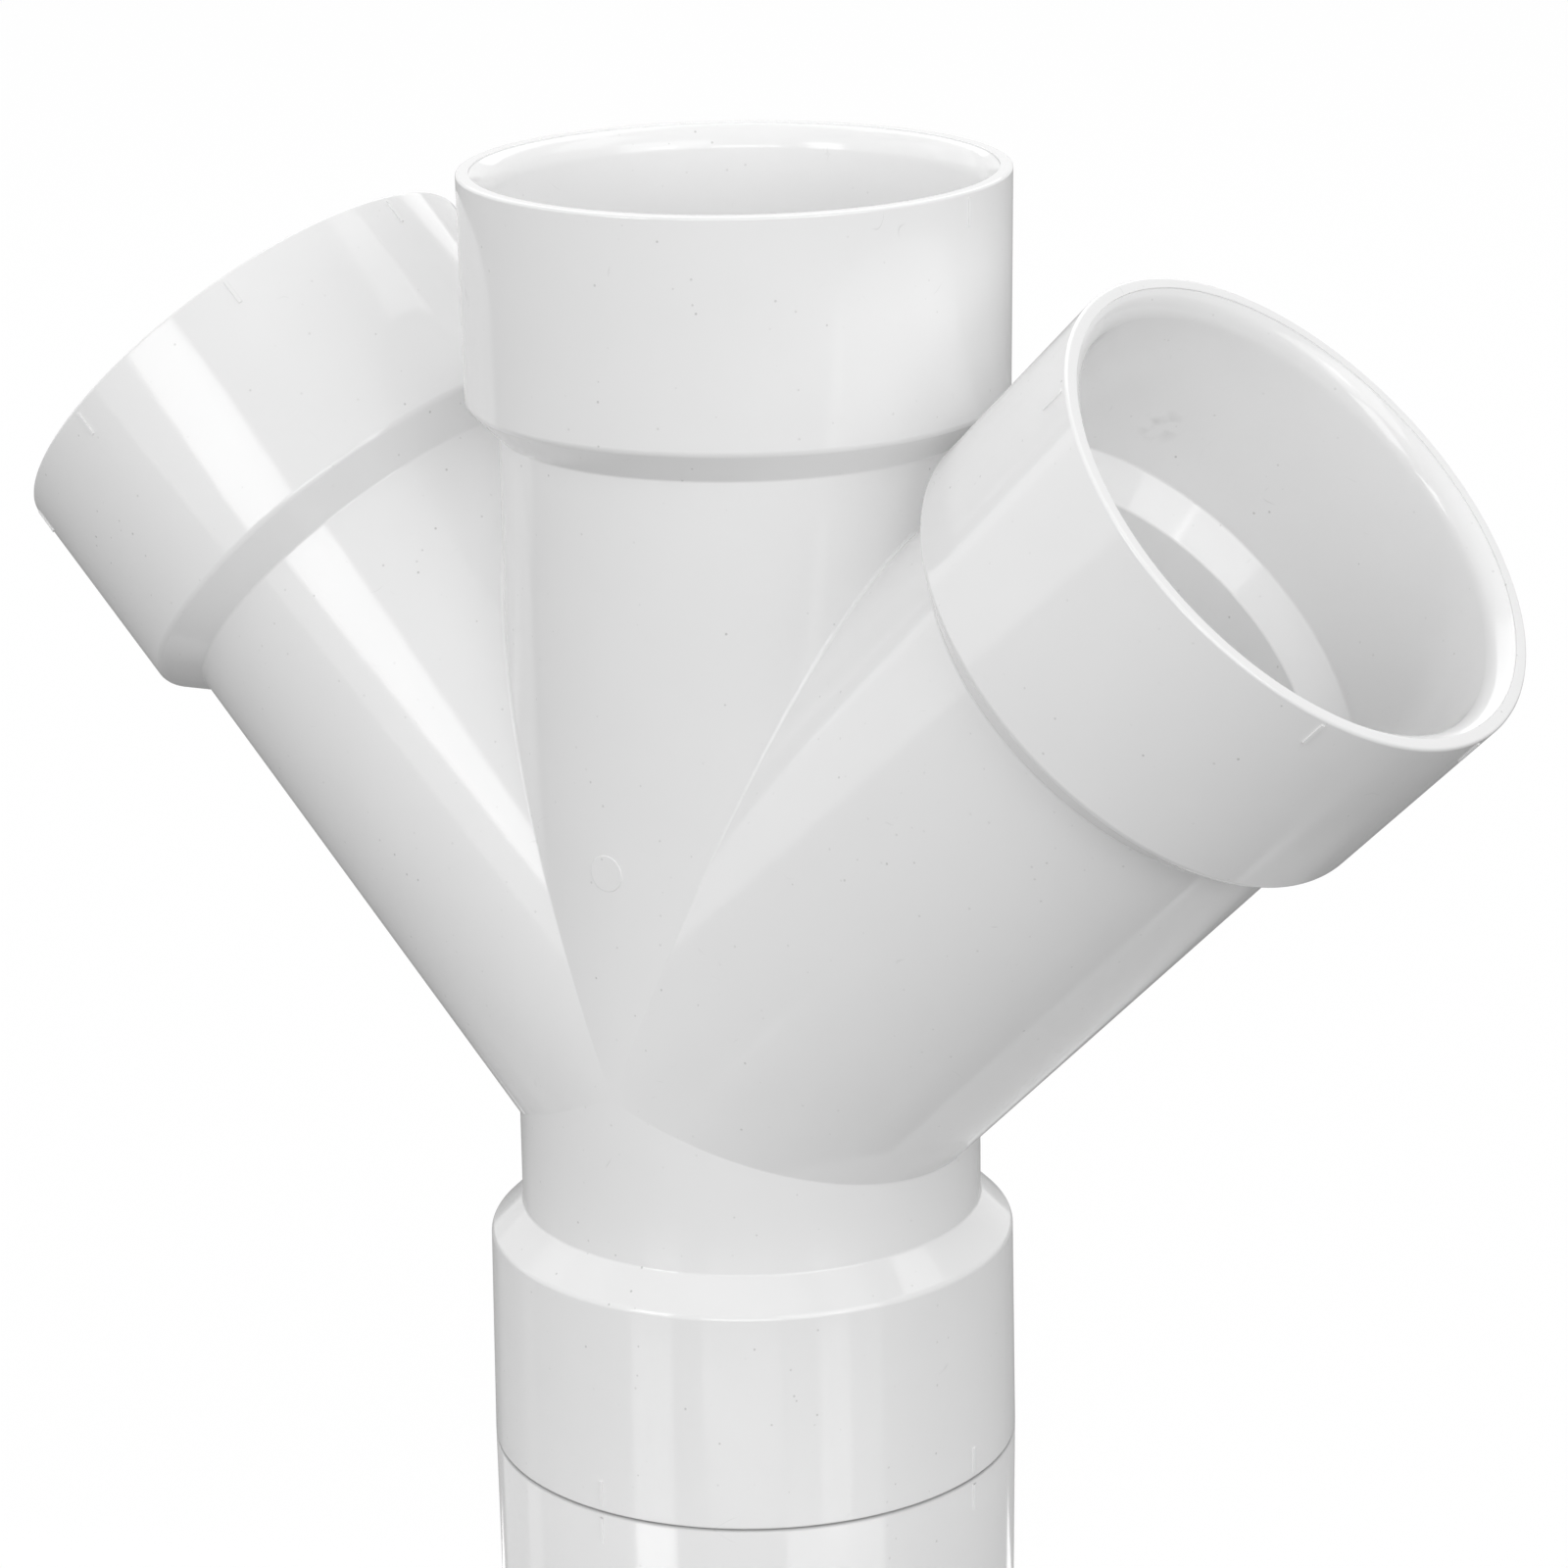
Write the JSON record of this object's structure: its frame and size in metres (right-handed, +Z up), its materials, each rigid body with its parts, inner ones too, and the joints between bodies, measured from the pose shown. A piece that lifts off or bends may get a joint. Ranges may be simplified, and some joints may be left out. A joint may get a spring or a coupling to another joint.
{
  "type": "double wye",
  "caption": "Drain pipe fitting: opposed 45 degree branches join a straight run, with a solvent-weld hub on every end.",
  "frame": {"origin": "centre of the foot hub's mouth, on the plane that the fitting stands on", "axes": "+Z up the straight run, +X towards the right branch, branches in the XZ plane, -Y the front"},
  "size_m": [0.388, 0.1286, 0.3121],
  "materials": {
    "pvc": "glossy moulded"
  },
  "bodies": {
    "root": {"double_wye": "pvc"}
  },
  "joints": []
}
